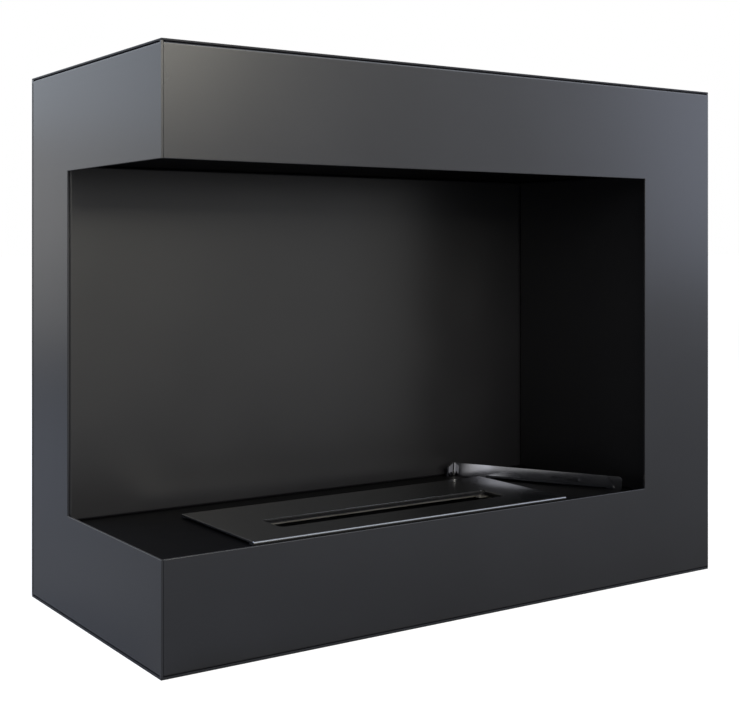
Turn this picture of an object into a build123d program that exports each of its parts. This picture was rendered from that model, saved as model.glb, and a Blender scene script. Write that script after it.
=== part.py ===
"""Corner bioethanol fireplace: a folded sheet-steel casing, open at the front and the left side.

Frame: X to the right, Y to the rear, Z up. The origin is at the middle of the underside.
All sizes are in millimetres. Each piece is written to parts/NODE.step.
"""
from build123d import *
from math import asin, atan2, degrees, hypot, radians, sin, tan
import os

os.makedirs("parts", exist_ok=True)

# ---- Casing ----------------------------------------------------------------------------
width = 500.0              # over the front, along X
depth = 234.0              # over the side, along Y
height = 400.0             # overall, along Z
base_height = 75.0         # ground to the sill
hood_height = 75.0         # lower edge of the hood to the top
right_stile = 75.0         # front face beside the opening
rear_stile = 75.0          # left face behind the opening
sheet = 1.5                # powder-coated steel sheet
bend_radius = 2.0          # outside radius of a fold
flange = 14.0              # height of a folded edge, over the outside
seam = 0.3                 # joint between two pieces that meet edge to edge
reveal = 4.5               # how far the fascia stands proud of the chamber's lining
edge_round = 0.4           # rounding of a visible cut edge
edge_break = 0.3           # chamfer of a trimmed edge
stiffener_width = 30.0     # channel under the top panel
stiffener_height = 18.0
shield_gap = 15.0          # air space between the soffit and its heat shield
shield_margin = 14.0       # heat shield to the lining's edges
shield_slots = 9
shield_slot_length = 60.0
shield_slot_width = 6.0
cleat_leg = 20.0           # leg of the angle inside the front-left corner

# ---- Rear fixings ----------------------------------------------------------------------
wall_spacing = 300.0       # between the two keyholes, and between the two lower holes
keyhole_setdown = 38.0     # top of the casing down to the wall screw's centre
keyhole_entry_radius = 6.0
keyhole_slot_width = 6.5
keyhole_drop = 14.0        # slot's end down to the centre of the entry
keyhole_plate_margin = 9.0
keyhole_plate_sheet = 2.0
wall_hole_radius = 3.25
wall_hole_height = 36.0
screw_rows = 2             # screws up each side of the rear panel
screw_row_margin = 34.0    # first and last row to the panel's ends
screw_radius = 1.5
screw_head_radius = 2.8
screw_length = 6.0
screw_hole_radius = 1.7
screw_slot = 0.8           # width and depth of the slot in the head

# ---- Burner ----------------------------------------------------------------------------
burner_setback = 71.5      # front of the casing to the burner's centre
tank_length = 240.0
tank_width = 84.0
tank_depth = 50.0
tank_wall = 1.0            # stainless sheet of the tank and of what is welded to it
tank_corner = 12.0
cutout_clearance = 2.0     # hearth opening around the tank
lift_clearance = 0.3       # under what lifts out or lies loose
rim_lap = 12.0             # tank's end to its rim's end
cover_lap = 8.0            # rim's end to the cover's end
cover_width = 110.0
cover_sheet = 1.5
hem_width = 6.0            # edge folded flat under the cover
hem_clearance = 0.5        # tank rim between the hems
slot_end = 18.0            # tank's end to the slot's end
slot_width = 28.0
slot_corner = 3.0
slot_forward = 12.0        # slot's centre ahead of the burner's centre
slide_clearance = 0.3      # above and below the shutter
shutter_end_lap = 5.0      # shutter past each end of the slot
shutter_side_lap = 3.0     # shutter past each side of the slot when shut
rail_lap = 4.0             # rail's ledge under the shutter's end
rail_play = 0.5            # shutter's end to the rail's upright
rail_overrun = 2.0
tongue_width = 9.0
tongue_reach = 6.5         # tongue ahead of the shutter's front edge
hook_hole_radius = 2.2
wool_height = 34.0
wool_gap = 0.5
mesh_sheet = 0.8
mesh_pitch = 15.0
mesh_hole = 10.0           # square hole
mesh_border = 5.0          # plain edge around the holes
tray_margin = 8.0          # spill tray around the tank
bearer_gap = 12.0          # bearer's web to the tank
bearer_setback = 18.0      # bearer's ends to the lining's front and rear

# ---- Damper hook -----------------------------------------------------------------------
hook_sheet = 1.8
hook_grip_height = 12.9    # blade's height at the grip's end
hook_bend_height = 10.8    # blade's height at the bend
hook_end_round = 3.6
hook_bend_radius = 3.0     # outside radius between the blade and the claw
hook_lean = 5.0            # blade's lean away from the claw, degrees
claw_length = 9.7          # out from the blade's face
claw_height = 8.4          # at its end
claw_tooth = 3.0           # width of the tooth that fits the shutter's holes
claw_notch_radius = 1.6    # of the notch behind the tooth
hook_tail_gap = 3.0        # bend to the back wall
hook_side_gap = 18.0       # grip's end to the right wall
hook_front_gap = 11.2      # grip's end to the back of the sill
hook_pass = 6.7            # blade's face to the cover's corner that it passes

# ---- Planes and edges that the pieces share --------------------------------------------
left_x = -width / 2
right_x = width / 2
front_y = -depth / 2
rear_y = depth / 2
inner_left = left_x + sheet
inner_right = right_x - sheet
inner_front = front_y + sheet
inner_rear = rear_y - sheet
under_top = height - sheet
over_bottom = sheet
hood_z = height - hood_height
stile_x = right_x - right_stile
stile_y = rear_y - rear_stile
floor_z = base_height - reveal
soffit_z = hood_z + reveal
lining_x = stile_x + reveal
lining_y = stile_y
keyhole_z = height - keyhole_setdown
corner_space = bend_radius + seam

burner_x = (left_x + lining_x) / 2
burner_y = front_y + burner_setback
slot_y = burner_y - slot_forward
slot_length = tank_length - 2 * slot_end
rim_z = floor_z + lift_clearance
rim_length = tank_length + 2 * rim_lap
rim_width = cover_width - 2 * hem_width - 2 * hem_clearance
cover_length = rim_length + 2 * cover_lap
tank_base_z = rim_z - tank_depth
shutter_z = rim_z - slide_clearance - tank_wall
shutter_length = slot_length + 2 * shutter_end_lap
shutter_width = slot_width + 2 * shutter_side_lap
shutter_travel = slot_width + shutter_side_lap
shutter_front = slot_y + slot_width / 2
shutter_rear = shutter_front + shutter_width
ledge_z = shutter_z - slide_clearance - tank_wall
rail_x = shutter_length / 2 + rail_play
tongue_x = burner_x + slot_length / 2 - tongue_width / 2 - seam
bearer_x = tank_length / 2 + bearer_gap

# The hook leans past the cover's rear right corner, from the back wall to the sill.
hook_run_x = lining_x - hook_side_gap - (burner_x + cover_length / 2)
hook_run_y = burner_y + cover_width / 2 - (inner_front + hook_front_gap)
hook_turn = atan2(hook_run_y, hook_run_x) + asin(hook_pass / hypot(hook_run_x, hook_run_y))
hook_length = (lining_y - hook_tail_gap - inner_front - hook_front_gap) / sin(hook_turn)


def box(x0, x1, y0, y1, z0, z1):
    """A block between six planes."""
    return Pos(x0, y0, z0) * Box(x1 - x0, y1 - y0, z1 - z0, align=(Align.MIN,) * 3)


def panel(x0, x1, y0, y1):
    """A flat rectangle between four lines."""
    return Pos(x0, y0) * Rectangle(x1 - x0, y1 - y0, align=(Align.MIN, Align.MIN))


def facing(x, y, z, x_dir, z_dir):
    """A plane whose normal leaves the sheet's show face."""
    return Plane(origin=(x, y, z), x_dir=x_dir, z_dir=z_dir)


def face_forward(y):
    return facing(0, y, 0, (1, 0, 0), (0, -1, 0))


def face_left(x):
    return facing(x, 0, 0, (0, -1, 0), (-1, 0, 0))


def face_right(x):
    return facing(x, 0, 0, (0, 1, 0), (1, 0, 0))


def face_up(z):
    return facing(0, 0, z, (1, 0, 0), (0, 0, 1))


def face_down(z):
    return facing(0, 0, z, (1, 0, 0), (0, 0, -1))


def folded_edge(length, leg):
    """A quarter bend and its leg, along Y, with the bend line at X = 0 and mitred ends."""
    corner = (Align.MIN, Align.MIN)
    ring = Circle(bend_radius) - Circle(bend_radius - sheet)
    quarter = ring & Rectangle(bend_radius, bend_radius, align=corner)
    upright = Rectangle(sheet, leg - bend_radius, align=corner)
    section = Pos(0, -bend_radius) * quarter + Pos(bend_radius - sheet, -leg) * upright
    strip = extrude(Plane.XZ * section, amount=length / 2, both=True)
    half = length / 2
    mitre = Polyline((-half, 0), (half, 0), (half - leg, -leg), (leg - half, -leg), close=True)
    return strip & extrude(Plane.YZ * make_face(mitre), amount=2 * bend_radius, both=True)


def fold(side, edge, start, end, leg=flange):
    """One fold of a sheet: its side (N, E, S or W), where its outside lies, and its span."""
    middle = (start + end) / 2
    inset = edge - bend_radius if side in "NE" else edge + bend_radius
    spot = (inset, middle) if side in "EW" else (middle, inset)
    turn = {"E": 0, "N": 90, "W": 180, "S": 270}[side]
    return spot, turn, abs(end - start), leg


def folded_sheet(plane, web, folds):
    """A flat web with folded edges. The web gives up the bend's width along each fold."""
    strips = []
    for spot, turn, length, leg in folds:
        place = Pos(*spot) * Rot(0, 0, turn)
        web -= place * Rectangle(2 * bend_radius, length, align=(Align.MIN, Align.CENTER))
        strips.append(place * folded_edge(length, leg))
    body = extrude(web, amount=-sheet)
    for strip in strips:
        body += strip
    return plane * body


def tray(plane, x0, x1, y0, y1, leg=flange, cuts=None):
    """A rectangular sheet folded on all four sides."""
    web = panel(x0, x1, y0, y1)
    if cuts is not None:
        web -= cuts
    folds = [
        fold("N", y1, x0 + corner_space, x1 - corner_space, leg),
        fold("S", y0, x0 + corner_space, x1 - corner_space, leg),
        fold("E", x1, y0 + corner_space, y1 - corner_space, leg),
        fold("W", x0, y0 + corner_space, y1 - corner_space, leg),
    ]
    return folded_sheet(plane, web, folds)


def slot_outline():
    """The burner's slot, seen from above."""
    return Pos(burner_x, slot_y) * RectangleRounded(slot_length, slot_width, slot_corner)


def screw_spots():
    """Rear panel screws: rows up the left and right flanges."""
    first = over_bottom + screw_row_margin
    last = under_top - screw_row_margin
    step = (last - first) / (screw_rows - 1)
    reach = inner_right - flange / 2
    return [(side * reach, first + row * step) for row in range(screw_rows) for side in (-1, 1)]


def screw_bores(y0, y1):
    """Straight holes for the rear panel's screws."""
    bores = [Pos(x, y1, z) * Rot(90, 0, 0) * Cylinder(
        screw_hole_radius, y1 - y0, align=(Align.CENTER, Align.CENTER, Align.MIN))
        for x, z in screw_spots()]
    return Part() + bores


def keyhole(x):
    """A keyhole's outline: a wide entry below a narrow slot."""
    entry = Pos(x, keyhole_z - keyhole_drop) * Circle(keyhole_entry_radius)
    slot = Pos(x, keyhole_z - keyhole_drop / 2) * Rectangle(keyhole_slot_width, keyhole_drop)
    return entry + slot + Pos(x, keyhole_z) * Circle(keyhole_slot_width / 2)


def outline_cut(outline, y0, y1):
    """An outline in X and Z, cut along Y."""
    return Pos(0, y1, 0) * extrude(Plane.XZ * outline, amount=y1 - y0)


# ---- Casing pieces ---------------------------------------------------------------------
def make_front_fascia():
    """C-shaped front: hood band, right stile and base band in one sheet."""
    start = inner_left + seam
    web = panel(start, right_x, over_bottom, under_top)
    web -= panel(start, stile_x, base_height, hood_z)
    end = inner_right - seam
    folds = [fold("N", under_top, start, end), fold("S", over_bottom, start, end)]
    part = folded_sheet(face_forward(front_y), web, folds)
    show = part.faces().filter_by(Axis.Y).sort_by(Axis.Y)[0]
    rim = show.edges().filter_by_position(Axis.Z, base_height - seam, hood_z + seam)
    return fillet(rim, edge_round)


def make_left_fascia():
    """C-shaped left side: hood band, rear stile and base band in one sheet."""
    web = panel(-inner_rear, -front_y, over_bottom, under_top)
    web -= panel(-stile_y, -front_y, base_height, hood_z)
    front_end = -inner_front - seam
    rear_end = -inner_rear + corner_space
    folds = [
        fold("N", under_top, rear_end, front_end),
        fold("S", over_bottom, rear_end, front_end),
        fold("W", -inner_rear, over_bottom + corner_space, under_top - corner_space),
    ]
    part = folded_sheet(face_left(left_x), web, folds)
    show = part.faces().filter_by(Axis.X).sort_by(Axis.X)[0]
    rim = show.edges().filter_by_position(Axis.Z, base_height - seam, hood_z + seam)
    return fillet(rim, edge_round) - screw_bores(stile_y, rear_y)


def make_right_panel():
    """Plain right side, folded on all four edges behind the front fascia."""
    part = tray(face_right(right_x), inner_front, inner_rear, over_bottom, under_top)
    return part - screw_bores(stile_y, rear_y)


def make_cap(z):
    """Flat sheet over the top or under the bottom, with its edges broken."""
    plate = box(left_x, right_x, front_y, rear_y, z, z + sheet)
    return chamfer(plate.edges(), edge_break)


def make_rear_panel():
    """Flat back sheet: keyholes to hang by, two holes to screw through and countersunk screws."""
    plate = box(left_x, right_x, inner_rear, rear_y, over_bottom, under_top)
    for side in (-1, 1):
        x = side * wall_spacing / 2
        plate -= outline_cut(keyhole(x), inner_rear, rear_y)
        plate -= outline_cut(Pos(x, wall_hole_height) * Circle(wall_hole_radius), inner_rear, rear_y)
    sink = Cone(screw_hole_radius, screw_head_radius + seam, sheet)
    for x, z in screw_spots():
        plate -= Pos(x, (inner_rear + rear_y) / 2, z) * Rot(-90, 0, 0) * sink
    return plate


def make_keyhole_plates():
    """Two stiff plates welded behind the keyholes."""
    half = keyhole_entry_radius + keyhole_plate_margin
    plates = []
    for side in (-1, 1):
        x = side * wall_spacing / 2
        outline = Pos(x, keyhole_z - keyhole_drop / 2) * Rectangle(2 * half, keyhole_drop + 2 * half)
        plates.append(outline_cut(outline - keyhole(x), inner_rear - keyhole_plate_sheet, inner_rear))
    return Compound(children=plates)


def make_rear_screws():
    """Countersunk screws that hold the rear panel to the side flanges."""
    head = Cone(screw_radius, screw_head_radius, sheet, align=(Align.CENTER, Align.CENTER, Align.MAX))
    shank = Cylinder(screw_radius, screw_length, align=(Align.CENTER, Align.CENTER, Align.MAX))
    slot = Box(2 * screw_head_radius, screw_slot, 2 * screw_slot)
    screw = head + shank - slot
    return Compound(children=[Pos(x, rear_y, z) * Rot(-90, 0, 0) * screw for x, z in screw_spots()])


# ---- Lining of the chamber -------------------------------------------------------------
def make_inner_back_panel():
    """Back wall of the chamber, folded away from the fire on all four edges."""
    return tray(face_forward(lining_y), inner_left, lining_x + flange, floor_z, soffit_z)


def make_inner_right_panel():
    """Right wall of the chamber, between the fascia and the back wall."""
    return tray(face_left(lining_x), -lining_y + seam, -inner_front, floor_z, soffit_z)


def make_hood_soffit():
    """Ceiling of the chamber, folded up behind the fascias."""
    rear = lining_y + flange
    return tray(face_down(soffit_z), inner_left, lining_x + flange, -rear, -inner_front)


def make_hearth_floor():
    """Floor of the chamber, folded down behind the fascias, with the opening that the tank hangs in."""
    opening = Pos(burner_x, burner_y) * RectangleRounded(
        tank_length + 2 * cutout_clearance, tank_width + 2 * cutout_clearance, tank_corner + cutout_clearance)
    rear = lining_y + flange
    return tray(face_up(floor_z), inner_left, lining_x + flange, inner_front, rear, cuts=opening)


def make_heat_shield():
    """Second sheet above the soffit, with a row of slots that let the warm air out."""
    x0 = inner_left + shield_margin
    x1 = lining_x + flange - shield_margin
    y0 = inner_front + shield_margin
    y1 = lining_y + flange - shield_margin
    pitch = (x1 - x0 - 2 * flange) / shield_slots
    row = Pos((x0 + x1) / 2, (y0 + y1) / 2) * GridLocations(pitch, 1, shield_slots, 1)
    slots = Sketch() + row * Rectangle(shield_slot_width, shield_slot_length)
    web_z = soffit_z + sheet + shield_gap
    return tray(face_up(web_z), x0, x1, y0, y1, leg=shield_gap, cuts=slots)


def make_hood_rib():
    """Channel that stiffens the top panel between the front fold and the rear panel."""
    outer = Rectangle(stiffener_width, stiffener_height, align=(Align.CENTER, Align.MAX))
    hollow = Pos(0, -sheet) * Rectangle(
        stiffener_width - 2 * sheet, stiffener_height, align=(Align.CENTER, Align.MAX))
    section = outer - hollow
    inner = section.vertices().group_by(Axis.Y)[-1]
    section = fillet(inner, bend_radius)
    front_end = front_y + flange + seam
    length = inner_rear - front_end
    return Pos(burner_x, inner_rear, under_top) * extrude(Plane.XZ * section, amount=length)


def make_corner_cleat(z0, z1):
    """Angle spot-welded inside the front-left corner, behind both fascias."""
    outer = Rectangle(cleat_leg, cleat_leg, align=(Align.MIN, Align.MIN))
    section = outer - Pos(sheet, sheet) * outer
    return Pos(inner_left, inner_front, z0) * extrude(section, amount=z1 - z0)


# ---- Under the hearth ------------------------------------------------------------------
def make_bearer(side):
    """Channel that carries the hearth beside the tank, standing on the bottom panel."""
    y0 = inner_front + bearer_setback
    y1 = lining_y
    top = floor_z - sheet
    web = panel(y0, y1, over_bottom, top)
    folds = [fold("N", top, y0, y1), fold("S", over_bottom, y0, y1)]
    channel = folded_sheet(face_right(0), web, folds)
    if side > 0:
        channel = mirror(channel, about=Plane.YZ)
    return Pos(burner_x + side * bearer_x, 0, 0) * channel


def make_spill_tray():
    """Shallow pan on the bottom panel that catches what drips from the burner."""
    x = tank_length / 2 + tray_margin
    y = tank_width / 2 + tray_margin
    return tray(face_down(over_bottom), burner_x - x, burner_x + x, -burner_y - y, -burner_y + y)


# ---- Burner ----------------------------------------------------------------------------
def tank_block(inset, base, top):
    """A block with the tank's outline, drawn in by inset."""
    outline = RectangleRounded(tank_length - 2 * inset, tank_width - 2 * inset, tank_corner - inset)
    return extrude(Pos(burner_x, burner_y, base) * outline, amount=top - base)


def make_burner_tank():
    """Welded stainless fuel tank with round corners, open at the top."""
    block = tank_block(0, tank_base_z, rim_z)
    block = chamfer(block.faces().sort_by(Axis.Z)[0].edges(), tank_wall / 2)
    return block - tank_block(tank_wall, tank_base_z + tank_wall, rim_z)


def make_tank_top():
    """Tank's top plate: its rim carries the tank on the hearth, its slot feeds the flame."""
    rim = Pos(burner_x, burner_y) * RectangleRounded(rim_length, rim_width, slot_corner)
    return extrude(Pos(0, 0, rim_z) * (rim - slot_outline()), amount=tank_wall)


def make_ceramic_wool():
    """Ceramic wool that soaks up the fuel."""
    base = tank_base_z + tank_wall
    return tank_block(tank_wall + wool_gap, base, base + wool_height)


def make_wool_mesh():
    """Perforated sheet that holds the wool down."""
    base = tank_base_z + tank_wall + wool_height
    web = tank_block(tank_wall + wool_gap, base, base + mesh_sheet)
    columns = int((tank_length - 2 * mesh_border) // mesh_pitch)
    rows = int((tank_width - 2 * mesh_border) // mesh_pitch)
    grid = Pos(burner_x, burner_y, base) * GridLocations(mesh_pitch, mesh_pitch, columns, rows)
    return web - extrude(Sketch() + grid * Rectangle(mesh_hole, mesh_hole), amount=mesh_sheet)


def make_shutter_rail(side):
    """Angle under the tank's top that the shutter's end slides on."""
    upright = Pos(0, ledge_z) * Rectangle(tank_wall, rim_z - ledge_z, align=(Align.MIN, Align.MIN))
    lap = rail_lap + rail_play
    ledge = Pos(-lap, ledge_z) * Rectangle(lap, tank_wall, align=(Align.MIN, Align.MIN))
    length = shutter_width + shutter_travel + 2 * rail_overrun
    rail = extrude(Plane.XZ * (upright + ledge), amount=length)
    if side < 0:
        rail = mirror(rail, about=Plane.YZ)
    return Pos(burner_x + side * rail_x, shutter_rear + rail_overrun, 0) * rail


def make_shutter():
    """Sliding plate that shuts the slot. It is parked behind the slot, with its tongue showing."""
    plate = panel(burner_x - shutter_length / 2, burner_x + shutter_length / 2, shutter_front, shutter_rear)
    tongue = panel(
        tongue_x - tongue_width / 2, tongue_x + tongue_width / 2, shutter_front - tongue_reach, shutter_front)
    pull_hole = Pos(tongue_x, shutter_front - tongue_reach / 2) * Circle(hook_hole_radius)
    push_hole = Pos(tongue_x, shutter_front + shutter_travel - tongue_reach / 2) * Circle(hook_hole_radius)
    outline = plate + tongue - pull_hole - push_hole
    return extrude(Pos(0, 0, shutter_z) * outline, amount=tank_wall)


def make_burner_cover():
    """Loose cover plate: front and rear edges are folded flat under, the ends are left open."""
    reach = cover_width / 2
    top = Pos(0, cover_sheet / 2) * Rectangle(cover_width - 2 * cover_sheet, cover_sheet)
    section = Sketch() + top
    for side in (-1, 1):
        nose = Pos(side * (reach - cover_sheet), 0) * Circle(cover_sheet)
        lap_width = hem_width - cover_sheet
        lap = Pos(side * (reach - cover_sheet - lap_width / 2), 0) * Rectangle(lap_width, 2 * cover_sheet)
        section += nose + lap
    sheet_body = extrude(Plane.YZ * section, amount=cover_length / 2, both=True)
    cover = Pos(burner_x, burner_y, rim_z + cover_sheet) * sheet_body
    cover -= extrude(Pos(0, 0, rim_z + cover_sheet) * slot_outline(), amount=2 * cover_sheet)
    top_face = cover.faces().filter_by(Axis.Z).sort_by(Axis.Z)[-1]
    ends = top_face.outer_wire().edges().filter_by(Axis.Y)
    return chamfer(ends + top_face.inner_wires()[0].edges(), edge_break)


# ---- Damper hook -----------------------------------------------------------------------
def make_blade():
    """The long leg, on edge along X: it tapers to the bend and its grip has round corners."""
    outline = make_face(Polyline(
        (hook_bend_radius, 0), (hook_length, 0), (hook_length, hook_grip_height),
        (hook_bend_radius, hook_bend_height), close=True))
    outline = fillet(outline.vertices().group_by(Axis.X)[-1], hook_end_round)
    return extrude(Plane.XZ * outline, amount=-hook_sheet)


def make_claw():
    """The short leg, along -Y: it stands on a tooth that a round notch leaves at its end."""
    root = hook_sheet - hook_bend_radius
    drop = claw_length * tan(radians(hook_lean))
    outline = make_face(Polyline(
        (root, 0), (-claw_length, -drop), (-claw_length, claw_height - drop), (root, hook_bend_height),
        close=True))
    notch_y = claw_tooth + claw_notch_radius - claw_length
    outline -= Pos(notch_y, 0) * SlotOverall(4 * claw_notch_radius, 2 * claw_notch_radius, rotation=90)
    return extrude(Plane.YZ * outline, amount=hook_sheet)


def make_damper_hook():
    """Flat-bar hook that slides the shutter, leaning between its blade and its claw's tooth."""
    ring = Circle(hook_bend_radius) - Circle(hook_bend_radius - hook_sheet)
    quarter = ring & Rectangle(hook_bend_radius, hook_bend_radius, align=(Align.MAX, Align.MIN))
    bend = extrude(quarter, amount=hook_bend_height)
    bend = Pos(hook_bend_radius, hook_sheet - hook_bend_radius, 0) * bend
    hook = make_blade() + bend + make_claw()
    hook = Rot(-hook_lean, 0, 0) * Pos(-hook_length, 0, 0) * hook
    lift = floor_z + lift_clearance - hook.bounding_box().min.Z
    grip_end = Pos(lining_x - hook_side_gap, inner_front + hook_front_gap, lift)
    return grip_end * Rot(0, 0, -degrees(hook_turn)) * hook


cleat_gap = corner_space + seam
pieces = {
    "front_fascia": make_front_fascia(),
    "left_fascia": make_left_fascia(),
    "right_panel": make_right_panel(),
    "top_panel": make_cap(under_top),
    "bottom_panel": make_cap(0.0),
    "rear_panel": make_rear_panel(),
    "keyhole_plates": make_keyhole_plates(),
    "rear_screws": make_rear_screws(),
    "inner_back_panel": make_inner_back_panel(),
    "inner_right_panel": make_inner_right_panel(),
    "hood_soffit": make_hood_soffit(),
    "hearth_floor": make_hearth_floor(),
    "heat_shield": make_heat_shield(),
    "hood_rib": make_hood_rib(),
    "hood_corner_cleat": make_corner_cleat(soffit_z + flange + seam, under_top - cleat_gap),
    "base_corner_cleat": make_corner_cleat(over_bottom + cleat_gap, floor_z - flange - seam),
    "bearer_left": make_bearer(-1),
    "bearer_right": make_bearer(1),
    "spill_tray": make_spill_tray(),
    "burner_tank": make_burner_tank(),
    "tank_top": make_tank_top(),
    "ceramic_wool": make_ceramic_wool(),
    "wool_mesh": make_wool_mesh(),
    "shutter_rail_left": make_shutter_rail(-1),
    "shutter_rail_right": make_shutter_rail(1),
    "shutter": make_shutter(),
    "burner_cover": make_burner_cover(),
    "damper_hook": make_damper_hook(),
}

for name, piece in pieces.items():
    export_step(piece, f"parts/{name}.step")
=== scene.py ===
"""Dresses the corner bioethanol fireplace: its folded sheet-steel casing, burner and damper hook.

Metres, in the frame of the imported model: X to the right, Y to the rear, Z up, origin under the
middle of the casing.
"""
from math import copysign, cos, hypot, radians, sin

import bmesh
import bpy
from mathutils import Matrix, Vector, noise


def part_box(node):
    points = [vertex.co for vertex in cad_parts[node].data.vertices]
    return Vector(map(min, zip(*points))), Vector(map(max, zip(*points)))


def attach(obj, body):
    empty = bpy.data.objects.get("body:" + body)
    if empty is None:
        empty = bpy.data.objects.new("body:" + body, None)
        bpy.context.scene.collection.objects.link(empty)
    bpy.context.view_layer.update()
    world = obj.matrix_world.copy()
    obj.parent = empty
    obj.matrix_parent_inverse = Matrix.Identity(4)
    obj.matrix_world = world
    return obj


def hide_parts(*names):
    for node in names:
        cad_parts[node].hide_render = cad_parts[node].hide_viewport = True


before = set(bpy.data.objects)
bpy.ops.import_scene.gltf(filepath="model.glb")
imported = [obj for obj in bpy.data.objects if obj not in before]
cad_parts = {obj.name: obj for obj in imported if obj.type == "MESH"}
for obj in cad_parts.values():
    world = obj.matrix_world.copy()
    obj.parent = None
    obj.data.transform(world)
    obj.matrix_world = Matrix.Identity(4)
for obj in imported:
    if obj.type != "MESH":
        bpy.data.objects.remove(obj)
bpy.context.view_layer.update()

bl_info = {
    "name": "Corner bioethanol fireplace",
    "version": (1, 0, 0),
    "blender": (4, 5, 0),
    "location": "View3D > Sidebar > Fireplace",
    "description": "Finishes, wool, floor, lamps and camera for the corner bioethanol fireplace",
    "category": "Object",
}

MM = 0.001

# CAD nodes by finish.
OUTER_SHEETS = ("front_fascia", "left_fascia", "right_panel", "rear_panel")
# The top and bottom panels get a shaded copy of the coat: painted shade for their dark edge lines.
PAINTED_SHADE_COAT_SHEETS = ("top_panel", "bottom_panel")
LINING_SHEETS = ("inner_back_panel", "inner_right_panel")
MATT_SHEETS = ("hearth_floor", "hood_soffit")
INNER_SHEETS = (
    "heat_shield", "hood_rib", "hood_corner_cleat", "base_corner_cleat", "bearer_left",
    "bearer_right", "spill_tray", "keyhole_plates", "rear_screws",
)
BURNER_SHEETS = ("shutter_rail_left", "shutter_rail_right", "shutter")
# The tank, its top and the mesh are coloured dark as painted shade, so the slot looks shaded.
SOOT_AND_PAINTED_SHADE_SHEETS = ("burner_tank", "tank_top", "wool_mesh")

# The powder coat has faint paler clouds of this colour and width.
COAT_CLOUD_COLOUR = "#1D1E23"
COAT_CLOUD = 90 * MM

# The hook's blade twists about one point and bows near its claw. Both are parts of its length.
TWIST_CENTRE = 0.46
BOW_END = 0.32
TWIST_DEPTH = 0.34 * MM     # across the blade's height, over its whole length
BOW_BY_TWIST = 4.2          # depth of the bow against that of the twist

# The wool's box is cut into this many cells along X, Y and Z before its surface sinks.
WOOL_CELLS = (60, 20, 8)
ON_FACE = 1e-6      # a point nearer than this to a face's plane lies on that face

# The softboxes face this point. A turn of 0 is in front of the casing and 90 on its right.
LAMP_TARGET = Vector((0, 0, 200 * MM))
LAMPS = (
    # name, turn and height angle in degrees, distance, width and height in metres, watts, colour
    ("key_softbox", 0, 27, 2.2, 1.6, 1.2, 58, "#FBF6E6"),
    ("high_softbox", 42, 46, 2.2, 1.2, 0.8, 9.5, "#E6F0FF"),
    ("right_softbox", 61.5, 18, 2.2, 1.2, 1.4, 13, "#D6E2FF"),
    ("rear_left_softbox", 206, 24, 2.2, 1.4, 1.2, 3.2, "#C0DAF8"),
    ("rear_top_softbox", 236, 54, 2.0, 1.4, 1.0, 44, "#D8E4FF"),
    ("left_softbox", -108.5, 10.5, 2.2, 1.2, 1.2, 5, "#F2F5FF"),
)

# An upright flag beside the left softbox. It darkens what the hook mirrors.
FLAG_X = -1.5
FLAG_FRONT, FLAG_REAR = -0.6, 0.076
FLAG_LOW, FLAG_HIGH = 0.075, 0.9

WHITE = (1.0, 1.0, 1.0, 1.0)
WORLD_FILL = 0.36   # the world's strength where it lights the object and isn't seen or mirrored

# The camera is level, and its frame is shifted down, so that upright lines stay parallel.
CAMERA_PLACE = (-0.5907, -0.8514, 0.2687)
CAMERA_SHIFT = -0.1477
SENSOR_WIDTH = 36.0     # mm


# ---- Sizes and colours that a user would change ----------------------------------------
class FireplaceFinish(bpy.types.PropertyGroup):
    """Colours and surface sizes of the fireplace's finishes."""

    coat_colour: bpy.props.StringProperty(
        name="Coat colour", description="sRGB hex of the casing's powder coat", default="#17181C")
    lining_colour: bpy.props.StringProperty(
        name="Lining colour", description="sRGB hex of the chamber's heat-proof paint",
        default="#0F0F12")
    cover_colour: bpy.props.StringProperty(
        name="Cover colour", description="sRGB hex of the burner cover's heat-proof paint",
        default="#08090A")
    hearth_colour: bpy.props.StringProperty(
        name="Hearth colour", description="sRGB hex of the hearth's and soffit's matt paint",
        default="#060607")
    coat_grain: bpy.props.FloatProperty(
        name="Coat grain", description="Width of one swell in the powder coat's surface",
        default=2.4 * MM, min=0.2 * MM, max=20 * MM, precision=4,
        subtype="DISTANCE", unit="LENGTH")
    coat_roughness: bpy.props.FloatProperty(
        name="Coat roughness", description="Microscopic roughness of the satin powder coat",
        default=0.26, min=0.0, max=1.0, subtype="FACTOR")
    brush_pitch: bpy.props.FloatProperty(
        name="Brush pitch", description="Spacing of the brush lines on bare steel",
        default=0.6 * MM, min=0.05 * MM, max=5 * MM, precision=4,
        subtype="DISTANCE", unit="LENGTH")


class FireplaceWool(bpy.types.PropertyGroup):
    """Sizes of the ceramic wool that soaks up the fuel."""

    colour: bpy.props.StringProperty(
        name="Wool colour", description="sRGB hex of the ceramic fibre", default="#E4E1D8")
    tuft: bpy.props.FloatProperty(
        name="Tuft size", description="Width of one tuft in the wool's surface",
        default=9 * MM, min=1 * MM, max=40 * MM, subtype="DISTANCE", unit="LENGTH")
    sink: bpy.props.FloatProperty(
        name="Sink", description="How far the loose surface sinks between tufts",
        default=2.5 * MM, min=0.0, max=10 * MM, precision=4, subtype="DISTANCE", unit="LENGTH")
    corner: bpy.props.FloatProperty(
        name="Corner",
        description="Radius of the pad's upright corners, which lie inside the tank's",
        default=11 * MM, min=1 * MM, max=30 * MM, subtype="DISTANCE", unit="LENGTH")


class FireplaceStage(bpy.types.PropertyGroup):
    """Floor and camera."""

    floor_colour: bpy.props.StringProperty(
        name="Floor colour", description="sRGB hex of the floor", default="#8C8C8C")
    floor_reach: bpy.props.FloatProperty(
        name="Floor reach", description="From the middle of the floor to its edge",
        default=40.0, min=1.0, max=50.0, subtype="DISTANCE", unit="LENGTH")
    camera_turn: bpy.props.FloatProperty(
        name="Camera turn", description="Turn of the level camera about the vertical",
        default=radians(-34.12), subtype="ANGLE", unit="ROTATION")
    camera_lens: bpy.props.FloatProperty(
        name="Lens", description="Focal length on a 36 mm sensor",
        default=62.54, min=10, max=300, unit="CAMERA")


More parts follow.
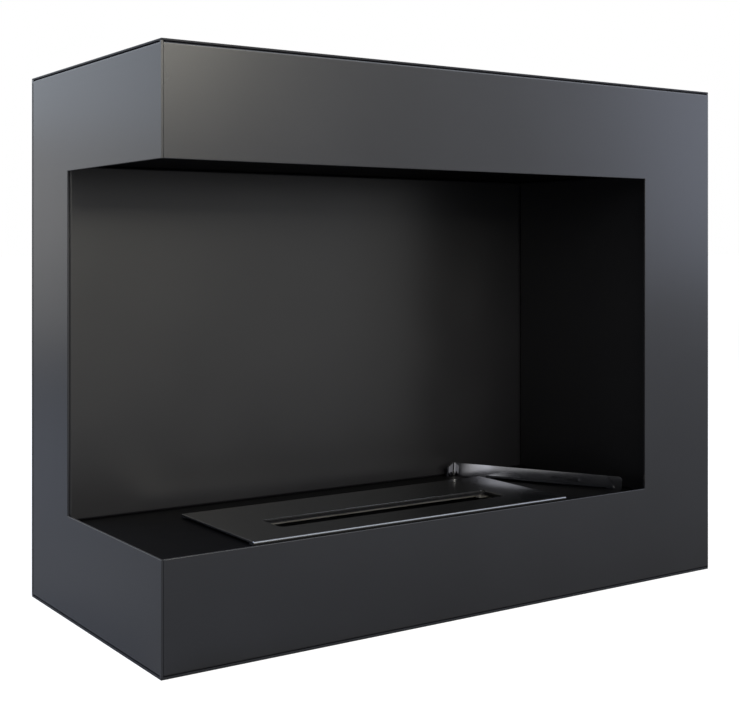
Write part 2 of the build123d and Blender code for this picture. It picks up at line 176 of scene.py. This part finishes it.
# ---- Small tools -----------------------------------------------------------------------
def linear(hex_colour):
    """An sRGB hex colour as linear RGBA."""
    parts = [int(hex_colour.lstrip("#")[i:i + 2], 16) / 255 for i in (0, 2, 4)]
    return [p / 12.92 if p <= 0.04045 else ((p + 0.055) / 1.055) ** 2.4 for p in parts] + [1.0]


def per_metre(size):
    """The texture scale that makes one cell that size, in metres."""
    return 1.0 / size


def add_node(tree, kind, inputs=None, **settings):
    """Adds one node. An input is a value, or the output socket that it is linked to."""
    made = tree.nodes.new(kind)
    for name, value in settings.items():
        setattr(made, name, value)
    for name, value in (inputs or {}).items():
        if isinstance(value, bpy.types.NodeSocket):
            tree.links.new(value, made.inputs[name])
        else:
            made.inputs[name].default_value = value
    return made


def new_material(name):
    """An empty node material and its tree."""
    material = bpy.data.materials.new(name)
    material.use_nodes = True
    material.node_tree.nodes.clear()
    return material, material.node_tree


def object_noise(tree, size, detail, distortion=0.0):
    """A number socket with noise that is fixed to the object, in cells of that size in metres."""
    place = add_node(tree, "ShaderNodeTexCoord")
    texture = add_node(tree, "ShaderNodeTexNoise", {
        "Vector": place.outputs["Object"], "Scale": per_metre(size), "Detail": detail,
        "Distortion": distortion})
    return texture.outputs["Fac"]


def colour_between(tree, factor, first, second):
    """A colour socket between two colours. Each is linear RGBA or a colour socket."""
    mix = add_node(
        tree, "ShaderNodeMix", {"Factor": factor, "A": first, "B": second}, data_type="RGBA")
    return mix.outputs["Result"]


def number_between(tree, factor, low, high, start=0.0, end=1.0, **settings):
    """A number socket that goes from low to high while the factor goes from start to end."""
    change = add_node(tree, "ShaderNodeMapRange", {
        "Value": factor, "From Min": start, "From Max": end, "To Min": low, "To Max": high},
        **settings)
    return change.outputs["Result"]


def maths(tree, operation, *values):
    """A number socket with the result of one Math node."""
    return add_node(tree, "ShaderNodeMath", dict(enumerate(values)), operation=operation).outputs[0]


def bumped_normal(tree, height, strength, distance):
    """A normal socket for a bump of that depth, in metres."""
    bump = add_node(tree, "ShaderNodeBump", {
        "Height": height, "Strength": strength, "Distance": distance})
    return bump.outputs["Normal"]


def end_material(tree, shader):
    """Links a shader socket to the material's output."""
    output = add_node(tree, "ShaderNodeOutputMaterial")
    tree.links.new(shader, output.inputs["Surface"])


def end_with_principled(tree, inputs):
    """Ends a material with a Principled shader that has these inputs."""
    end_material(tree, add_node(tree, "ShaderNodeBsdfPrincipled", inputs).outputs["BSDF"])


def coat_nodes(material, names):
    """Gives each CAD node this one material."""
    for name in names:
        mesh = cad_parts[name].data
        mesh.materials.clear()
        mesh.materials.append(material)


# ---- Materials -------------------------------------------------------------------------
def satin_black_powder_coat(finish):
    """Polyester powder coat, sprayed and baked: satin, with the faint swell of melted powder.

    It gives the eye a deep grey-black that goes pale towards grazing angles, with soft reflections.
    """
    material, tree = new_material("satin_black_powder_coat")
    swell = object_noise(tree, finish.coat_grain, 2.0)
    cloud = object_noise(tree, COAT_CLOUD, 3.0)
    rough = finish.coat_roughness
    end_with_principled(tree, {
        "Base Color": colour_between(
            tree, cloud, linear(finish.coat_colour), linear(COAT_CLOUD_COLOUR)),
        "Roughness": number_between(tree, cloud, rough - 0.02, rough + 0.02),
        "IOR": 1.46,
        "Normal": bumped_normal(tree, swell, 0.25, 0.02 * MM)})
    return material


def painted_shade_powder_coat(finish):
    """The same powder coat as a shaded copy on the top and bottom panels, whose edges are dark
    lines.

    It gives the eye the same black with weaker and broader reflections: painted shade that makes
    the panels' edges show as dark lines in front.
    """
    material, tree = new_material("painted_shade_black_powder_coat")
    cloud = object_noise(tree, COAT_CLOUD, 3.0)
    end_with_principled(tree, {
        "Base Color": colour_between(
            tree, cloud, linear(finish.coat_colour), linear(COAT_CLOUD_COLOUR)),
        "Roughness": number_between(tree, cloud, 0.4, 0.48),
        "IOR": 1.22})
    return material


def heat_proof_black_paint(finish):
    """Silicone stove paint, sprayed on the chamber's back and right side.

    It gives the eye a blacker surface than the outside, with slightly broader reflections.
    """
    material, tree = new_material("heat_proof_black_paint")
    swell = object_noise(tree, finish.coat_grain, 2.0)
    cloud = object_noise(tree, 60 * MM, 3.0)
    end_with_principled(tree, {
        "Base Color": colour_between(
            tree, cloud, linear(finish.lining_colour), linear("#131316")),
        "Roughness": number_between(tree, cloud, 0.28, 0.34),
        "IOR": 1.5,
        "Normal": bumped_normal(tree, swell, 0.2, 0.02 * MM)})
    return material


def matt_hearth_paint(finish):
    """Porous matt stove paint on the hearth and soffit, sooty from use.

    It gives the eye the blackest surface, with a weak dark sheen.
    """
    material, tree = new_material("matt_hearth_paint")
    soot = object_noise(tree, 45 * MM, 5.0)
    end_with_principled(tree, {
        "Base Color": colour_between(
            tree, soot, linear(finish.hearth_colour), linear("#0A0A0B")),
        "Roughness": number_between(tree, soot, 0.45, 0.6),
        "IOR": 1.07})
    return material


def cover_black_paint(finish):
    """Silicone stove paint on the burner's cover, rubbed through to bright steel on its bends.

    The flat top keeps its glossy black paint. What faces sideways, the bends and the cut edges,
    is rubbed by hands and the hook, and shows the metal.
    """
    material, tree = new_material("cover_black_paint")
    cloud = object_noise(tree, 35 * MM, 4.0)
    shape = add_node(tree, "ShaderNodeNewGeometry")
    facing = add_node(tree, "ShaderNodeSeparateXYZ", {"Vector": shape.outputs["Normal"]})
    flat = maths(tree, "ABSOLUTE", facing.outputs["Z"])
    rubbed = number_between(tree, flat, 0.9, 0.0, start=0.86, end=0.98)
    paint = colour_between(tree, cloud, linear(finish.cover_colour), linear("#0D0E10"))
    end_with_principled(tree, {
        "Base Color": colour_between(tree, rubbed, paint, linear("#707174")),
        "Roughness": number_between(tree, cloud, 0.13, 0.19),
        "IOR": 1.38,
        "Metallic": rubbed})
    return material


def zinc_coated_sheet():
    """Hot-dip zinc on mild steel.

    It gives the eye grey metal with a broad spangle of crystals in slightly different greys.
    """
    material, tree = new_material("zinc_coated_sheet")
    place = add_node(tree, "ShaderNodeTexCoord")
    spangle = add_node(tree, "ShaderNodeTexVoronoi", {
        "Vector": place.outputs["Object"], "Scale": per_metre(7 * MM)})
    grey = add_node(tree, "ShaderNodeSeparateColor", {"Color": spangle.outputs["Color"]})
    end_with_principled(tree, {
        "Base Color": colour_between(
            tree, grey.outputs["Red"], linear("#9A9C9E"), linear("#C2C4C6")),
        "Roughness": number_between(tree, grey.outputs["Green"], 0.32, 0.5),
        "Metallic": 1.0})
    return material


def rolled_stainless(finish):
    """Cold-rolled 304 stainless sheet, heat-dulled by use.

    It gives the eye soft grey streaks along the roll. Real lines are about 0.1 mm apart, too fine
    to show, so they are drawn coarser.
    """
    material, tree = new_material("rolled_stainless")
    place = add_node(tree, "ShaderNodeTexCoord")
    across = per_metre(finish.brush_pitch)
    along = add_node(tree, "ShaderNodeMapping", {
        "Vector": place.outputs["Object"], "Scale": (per_metre(40 * MM), across, across)})
    lines = add_node(tree, "ShaderNodeTexNoise", {
        "Vector": along.outputs["Vector"], "Scale": 1.0, "Detail": 2.0}).outputs["Fac"]
    end_with_principled(tree, {
        "Base Color": colour_between(tree, lines, linear("#8F8C88"), linear("#B7B4AF")),
        "Roughness": number_between(tree, lines, 0.25, 0.42),
        "Metallic": 1.0})
    return material


def soot_and_painted_shade_stainless():
    """Stainless steel with soot blotches, dark grey as painted shade, so the slot looks shaded."""
    material, tree = new_material("soot_and_painted_shade_stainless")
    soot = object_noise(tree, 14 * MM, 5.0)
    # Painted shade: both greys are dark so that the tank seen through the slot looks shaded; the
    # noise adds soot blotches.
    end_with_principled(tree, {
        "Base Color": colour_between(tree, soot, linear("#19191B"), linear("#343438")),
        "Roughness": number_between(tree, soot, 0.6, 0.4),
        "Metallic": 1.0})
    return material


def polished_flat_bar():
    """Polished steel flat bar: a grey mirror, smeared by hands, slightly twisted by the shear.

    The twist is 1.5 degrees from the claw's end to the grip, and the blade bows three degrees by
    its bend, so that reflections taper along it.
    """
    material, tree = new_material("polished_flat_bar")
    smear = object_noise(tree, 12 * MM, 4.0)
    place = add_node(tree, "ShaderNodeTexCoord")
    part = add_node(tree, "ShaderNodeSeparateXYZ", {"Vector": place.outputs["Generated"]})
    from_claw, from_foot = part.outputs["X"], part.outputs["Z"]
    along = maths(tree, "SUBTRACT", from_claw, TWIST_CENTRE)
    turned = maths(tree, "MULTIPLY", along, from_foot)
    near_bend = number_between(tree, from_claw, 1.0, 0.0, end=BOW_END)
    bowed = maths(tree, "MULTIPLY", near_bend, near_bend)
    shape = maths(tree, "MULTIPLY_ADD", bowed, BOW_BY_TWIST, turned)
    end_with_principled(tree, {
        "Base Color": colour_between(tree, smear, linear("#8A8A8E"), linear("#98989B")),
        "Roughness": number_between(tree, smear, 0.04, 0.09),
        "Metallic": 1.0,
        "Normal": bumped_normal(tree, shape, 1.0, TWIST_DEPTH)})
    return material


def ceramic_fibre(wool):
    """Needled alumina-silica fibre blanket: matt off-white with short crossing fibres.

    A fibre is a few thousandths of a millimetre thick, too fine to show, so bundles are drawn.
    """
    material, tree = new_material("ceramic_fibre")
    strand = object_noise(tree, 1.5 * MM, 6.0, distortion=2.0)
    end_with_principled(tree, {
        "Base Color": colour_between(tree, strand, linear("#B9B5A9"), linear(wool.colour)),
        "Roughness": 0.95,
        "IOR": 1.45,
        "Normal": bumped_normal(tree, strand, 0.8, 0.6 * MM)})
    return material


def pale_floor(stage):
    """Matt painted floor that keeps the object's shadow.

    The camera sees it lifted to white by a painted glow, a little weaker near the object. Mirrors
    see that painted glow from a few metres out, and nearer only its plain lit grey: painted light
    that stands for a studio whose light falls off towards the table.
    """
    material, tree = new_material("pale_matt_floor")
    cloud = object_noise(tree, 400 * MM, 2.0)
    paint = add_node(tree, "ShaderNodeBsdfDiffuse", {
        "Color": colour_between(tree, cloud, linear(stage.floor_colour), linear("#929292"))})
    place = add_node(tree, "ShaderNodeTexCoord")
    away = add_node(
        tree, "ShaderNodeVectorMath", {0: place.outputs["Object"]}, operation="LENGTH"
    ).outputs["Value"]
    seen = add_node(tree, "ShaderNodeLightPath").outputs
    # Painted light: mirrors see the floor glow only from 1.2 m out, more with distance.
    painted_mirror_glow_reach = number_between(
        tree, away, 0.0, 0.66, start=1.2, end=4.5, interpolation_type="SMOOTHSTEP")
    mirrored = maths(tree, "MULTIPLY", seen["Is Glossy Ray"], painted_mirror_glow_reach)
    direct = maths(tree, "MAXIMUM", seen["Is Camera Ray"], seen["Is Transmission Ray"])
    shown = maths(tree, "MAXIMUM", direct, mirrored)
    # Painted light: the glow that lifts the floor is weaker near the object.
    painted_glow_strength = number_between(
        tree, away, 0.8, 0.92, start=0.6, end=5.0, interpolation_type="SMOOTHSTEP")
    glow = add_node(tree, "ShaderNodeEmission", {
        "Color": WHITE, "Strength": maths(tree, "MULTIPLY", shown, painted_glow_strength)})
    both = add_node(tree, "ShaderNodeAddShader", {
        0: paint.outputs["BSDF"], 1: glow.outputs["Emission"]})
    end_material(tree, both.outputs["Shader"])
    return material


def flag_cloth():
    """Worn black duvetyn of a studio flag: dark grey and matt.

    Its weave is too fine to show, so it is drawn coarser.
    """
    material, tree = new_material("black_flag_cloth")
    weave = object_noise(tree, 8 * MM, 2.0)
    cloth = add_node(tree, "ShaderNodeBsdfDiffuse", {
        "Color": colour_between(tree, weave, linear("#2C2C2D"), linear("#363637"))})
    end_material(tree, cloth.outputs["BSDF"])
    return material


# ---- Pieces ----------------------------------------------------------------------------
class FIREPLACE_OT_coat_casing(bpy.types.Operator):
    """Coat the casing in satin black powder, with a duller copy as painted shade on top and bottom
    """

    bl_idname = "fireplace.coat_casing"
    bl_label = "Coat the casing"

    def execute(self, context):
        finish = context.scene.fireplace_finish
        coat_nodes(satin_black_powder_coat(finish), OUTER_SHEETS)
        coat_nodes(painted_shade_powder_coat(finish), PAINTED_SHADE_COAT_SHEETS)
        return {"FINISHED"}


class FIREPLACE_OT_paint_chamber(bpy.types.Operator):
    """Paint the chamber's back, side, soffit and hearth with stove paint"""

    bl_idname = "fireplace.paint_chamber"
    bl_label = "Paint the chamber"

    def execute(self, context):
        finish = context.scene.fireplace_finish
        coat_nodes(heat_proof_black_paint(finish), LINING_SHEETS)
        coat_nodes(matt_hearth_paint(finish), MATT_SHEETS)
        return {"FINISHED"}


class FIREPLACE_OT_paint_cover(bpy.types.Operator):
    """Paint the burner's loose cover plate"""

    bl_idname = "fireplace.paint_cover"
    bl_label = "Paint the burner cover"

    def execute(self, context):
        coat_nodes(cover_black_paint(context.scene.fireplace_finish), ["burner_cover"])
        return {"FINISHED"}


class FIREPLACE_OT_finish_burner(bpy.types.Operator):
    """Leave the rails and shutter in rolled stainless, and darken the tank, its top and mesh as
    painted shade
    """

    bl_idname = "fireplace.finish_burner"
    bl_label = "Finish the burner"

    def execute(self, context):
        coat_nodes(rolled_stainless(context.scene.fireplace_finish), BURNER_SHEETS)
        coat_nodes(soot_and_painted_shade_stainless(), SOOT_AND_PAINTED_SHADE_SHEETS)
        return {"FINISHED"}


class FIREPLACE_OT_galvanise_inner_sheets(bpy.types.Operator):
    """Zinc-coat the sheets, plates and screws that the casing hides"""

    bl_idname = "fireplace.galvanise_inner_sheets"
    bl_label = "Galvanise the inner sheets"

    def execute(self, context):
        coat_nodes(zinc_coated_sheet(), INNER_SHEETS)
        return {"FINISHED"}


class FIREPLACE_OT_polish_hook(bpy.types.Operator):
    """Polish the damper hook"""

    bl_idname = "fireplace.polish_hook"
    bl_label = "Polish the damper hook"

    def execute(self, context):
        coat_nodes(polished_flat_bar(), ["damper_hook"])
        return {"FINISHED"}


def cut_box(low, high, cells):
    """A box whose faces are cut into a grid, with that many cells along each axis."""
    size = high - low
    mesh = bmesh.new()
    bmesh.ops.create_cube(mesh, size=1.0)
    bmesh.ops.scale(mesh, vec=size, verts=mesh.verts)
    bmesh.ops.translate(mesh, vec=(low + high) / 2, verts=mesh.verts)
    for axis, count in enumerate(cells):
        for i in range(1, count):
            point = Vector(low)
            point[axis] += size[axis] * i / count
            normal = Vector((axis == 0, axis == 1, axis == 2))
            cut = mesh.verts[:] + mesh.edges[:] + mesh.faces[:]
            bmesh.ops.bisect_plane(mesh, geom=cut, plane_co=point, plane_no=normal)
    return mesh


def sunk(point, middle, size, wool):
    """Where a point on the box goes when its faces sink between tufts."""
    depth = 0.5 + 0.5 * noise.noise(point / wool.tuft)
    pull = Vector([
        copysign(1.0, inward) if abs(abs(inward) - across / 2) < ON_FACE else 0.0
        for inward, across in zip(middle - point, size)])
    return point + pull * wool.sink * depth


def rounded(point, middle, size, wool):
    """Where a point goes when the box's upright corners are rounded."""
    moved = point.copy()
    offset = point - middle
    arms = [max(abs(offset[axis]) - (size[axis] / 2 - wool.corner), 0.0) for axis in (0, 1)]
    if min(arms) > 0.0:
        shrink = max(arms) / hypot(*arms)
        for axis, arm in enumerate(arms):
            moved[axis] -= copysign(arm * (1.0 - shrink), offset[axis])
    return moved


class FIREPLACE_OT_pack_wool(bpy.types.Operator):
    """Pack ceramic wool into the tank: a soft block with a tufted surface"""

    bl_idname = "fireplace.pack_wool"
    bl_label = "Pack the ceramic wool"

    def execute(self, context):
        wool = context.scene.fireplace_wool
        low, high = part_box("ceramic_wool")
        size, middle = high - low, (low + high) / 2
        mesh = cut_box(low, high, WOOL_CELLS)
        for vert in mesh.verts:
            vert.co = sunk(vert.co, middle, size, wool)
            vert.co = rounded(vert.co, middle, size, wool)
        data = bpy.data.meshes.new("ceramic_wool_pad")
        mesh.to_mesh(data)
        mesh.free()
        data.polygons.foreach_set("use_smooth", [True] * len(data.polygons))
        data.materials.append(ceramic_fibre(wool))
        pad = bpy.data.objects.new("ceramic_wool_pad", data)
        context.scene.collection.objects.link(pad)
        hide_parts("ceramic_wool")
        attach(pad, "burner")
        return {"FINISHED"}


# ---- Stage -----------------------------------------------------------------------------
def add_sheet(scene, name, corners, material):
    """A flat four-cornered sheet."""
    data = bpy.data.meshes.new(name)
    data.from_pydata(corners, [], [(0, 1, 2, 3)])
    data.materials.append(material)
    sheet = bpy.data.objects.new(name, data)
    scene.collection.objects.link(sheet)
    return sheet


def light_world(scene):
    """A white world. It is seen and mirrored at full strength, and lights the object with less."""
    world = bpy.data.worlds.new("studio")
    world.use_nodes = True
    tree = world.node_tree
    tree.nodes.clear()
    seen = add_node(tree, "ShaderNodeLightPath").outputs
    mirrored = maths(tree, "MAXIMUM", seen["Is Glossy Ray"], seen["Is Transmission Ray"])
    shown = maths(tree, "MAXIMUM", seen["Is Camera Ray"], mirrored)
    sky = add_node(tree, "ShaderNodeBackground", {
        "Color": WHITE, "Strength": number_between(tree, shown, WORLD_FILL, 1.0)})
    output = add_node(tree, "ShaderNodeOutputWorld")
    tree.links.new(sky.outputs["Background"], output.inputs["Surface"])
    scene.world = world


def add_lamps(scene):
    """The softboxes, each facing the casing."""
    for name, turn, rise, distance, wide, tall, watts, colour in LAMPS:
        lamp = bpy.data.lights.new(name, "AREA")
        lamp.shape = "RECTANGLE"
        lamp.size = wide
        lamp.size_y = tall
        lamp.energy = watts
        lamp.color = linear(colour)[:3]
        turn, rise = radians(turn), radians(rise)
        away = Vector((sin(turn) * cos(rise), -cos(turn) * cos(rise), sin(rise)))
        holder = bpy.data.objects.new(name, lamp)
        holder.location = LAMP_TARGET + away * distance
        holder.rotation_euler = away.to_track_quat("Z", "Y").to_euler()
        scene.collection.objects.link(holder)


def set_camera(scene, stage):
    """The level camera, in front of the casing's open corner."""
    data = bpy.data.cameras.new("camera")
    data.lens = stage.camera_lens
    data.sensor_width = SENSOR_WIDTH
    data.shift_y = CAMERA_SHIFT
    camera = bpy.data.objects.new("camera", data)
    camera.location = CAMERA_PLACE
    camera.rotation_euler = (radians(90), 0, stage.camera_turn)
    scene.collection.objects.link(camera)
    scene.camera = camera


class FIREPLACE_OT_set_stage(bpy.types.Operator):
    """Lay the pale floor, hang the flag, light the world and softboxes and set the camera"""

    bl_idname = "fireplace.set_stage"
    bl_label = "Set the stage"

    def execute(self, context):
        scene = context.scene
        stage = scene.fireplace_stage
        reach = stage.floor_reach
        floor = add_sheet(scene, "floor", [
            (-reach, -reach, 0), (reach, -reach, 0), (reach, reach, 0), (-reach, reach, 0)],
            pale_floor(stage))
        flag = add_sheet(scene, "black_flag", [
            (FLAG_X, FLAG_FRONT, FLAG_LOW), (FLAG_X, FLAG_REAR, FLAG_LOW),
            (FLAG_X, FLAG_REAR, FLAG_HIGH), (FLAG_X, FLAG_FRONT, FLAG_HIGH)],
            flag_cloth())
        flag.visible_camera = False
        light_world(scene)
        add_lamps(scene)
        set_camera(scene, stage)
        scene.view_settings.view_transform = "Standard"
        return {"FINISHED"}


OPERATORS = (
    FIREPLACE_OT_coat_casing,
    FIREPLACE_OT_paint_chamber,
    FIREPLACE_OT_paint_cover,
    FIREPLACE_OT_finish_burner,
    FIREPLACE_OT_galvanise_inner_sheets,
    FIREPLACE_OT_polish_hook,
    FIREPLACE_OT_pack_wool,
    FIREPLACE_OT_set_stage,
)


class FIREPLACE_PT_panel(bpy.types.Panel):
    """Sidebar panel with the fireplace's settings and pieces"""

    bl_idname = "FIREPLACE_PT_panel"
    bl_label = "Bioethanol fireplace"
    bl_space_type = "VIEW_3D"
    bl_region_type = "UI"
    bl_category = "Fireplace"

    def draw(self, context):
        layout = self.layout
        scene = context.scene
        for group in (scene.fireplace_finish, scene.fireplace_wool, scene.fireplace_stage):
            column = layout.column(align=True)
            for name in group.__annotations__:
                column.prop(group, name)
        for operator in OPERATORS:
            layout.operator(operator.bl_idname)


CLASSES = (FireplaceFinish, FireplaceWool, FireplaceStage, *OPERATORS, FIREPLACE_PT_panel)


def register():
    for cls in CLASSES:
        bpy.utils.register_class(cls)
    bpy.types.Scene.fireplace_finish = bpy.props.PointerProperty(type=FireplaceFinish)
    bpy.types.Scene.fireplace_wool = bpy.props.PointerProperty(type=FireplaceWool)
    bpy.types.Scene.fireplace_stage = bpy.props.PointerProperty(type=FireplaceStage)


def unregister():
    del bpy.types.Scene.fireplace_stage
    del bpy.types.Scene.fireplace_wool
    del bpy.types.Scene.fireplace_finish
    for cls in reversed(CLASSES):
        bpy.utils.unregister_class(cls)


def main():
    register()
    bpy.ops.fireplace.coat_casing()
    bpy.ops.fireplace.paint_chamber()
    bpy.ops.fireplace.paint_cover()
    bpy.ops.fireplace.finish_burner()
    bpy.ops.fireplace.galvanise_inner_sheets()
    bpy.ops.fireplace.polish_hook()
    bpy.ops.fireplace.pack_wool()
    bpy.ops.fireplace.set_stage()


if __name__ == "__main__":
    main()
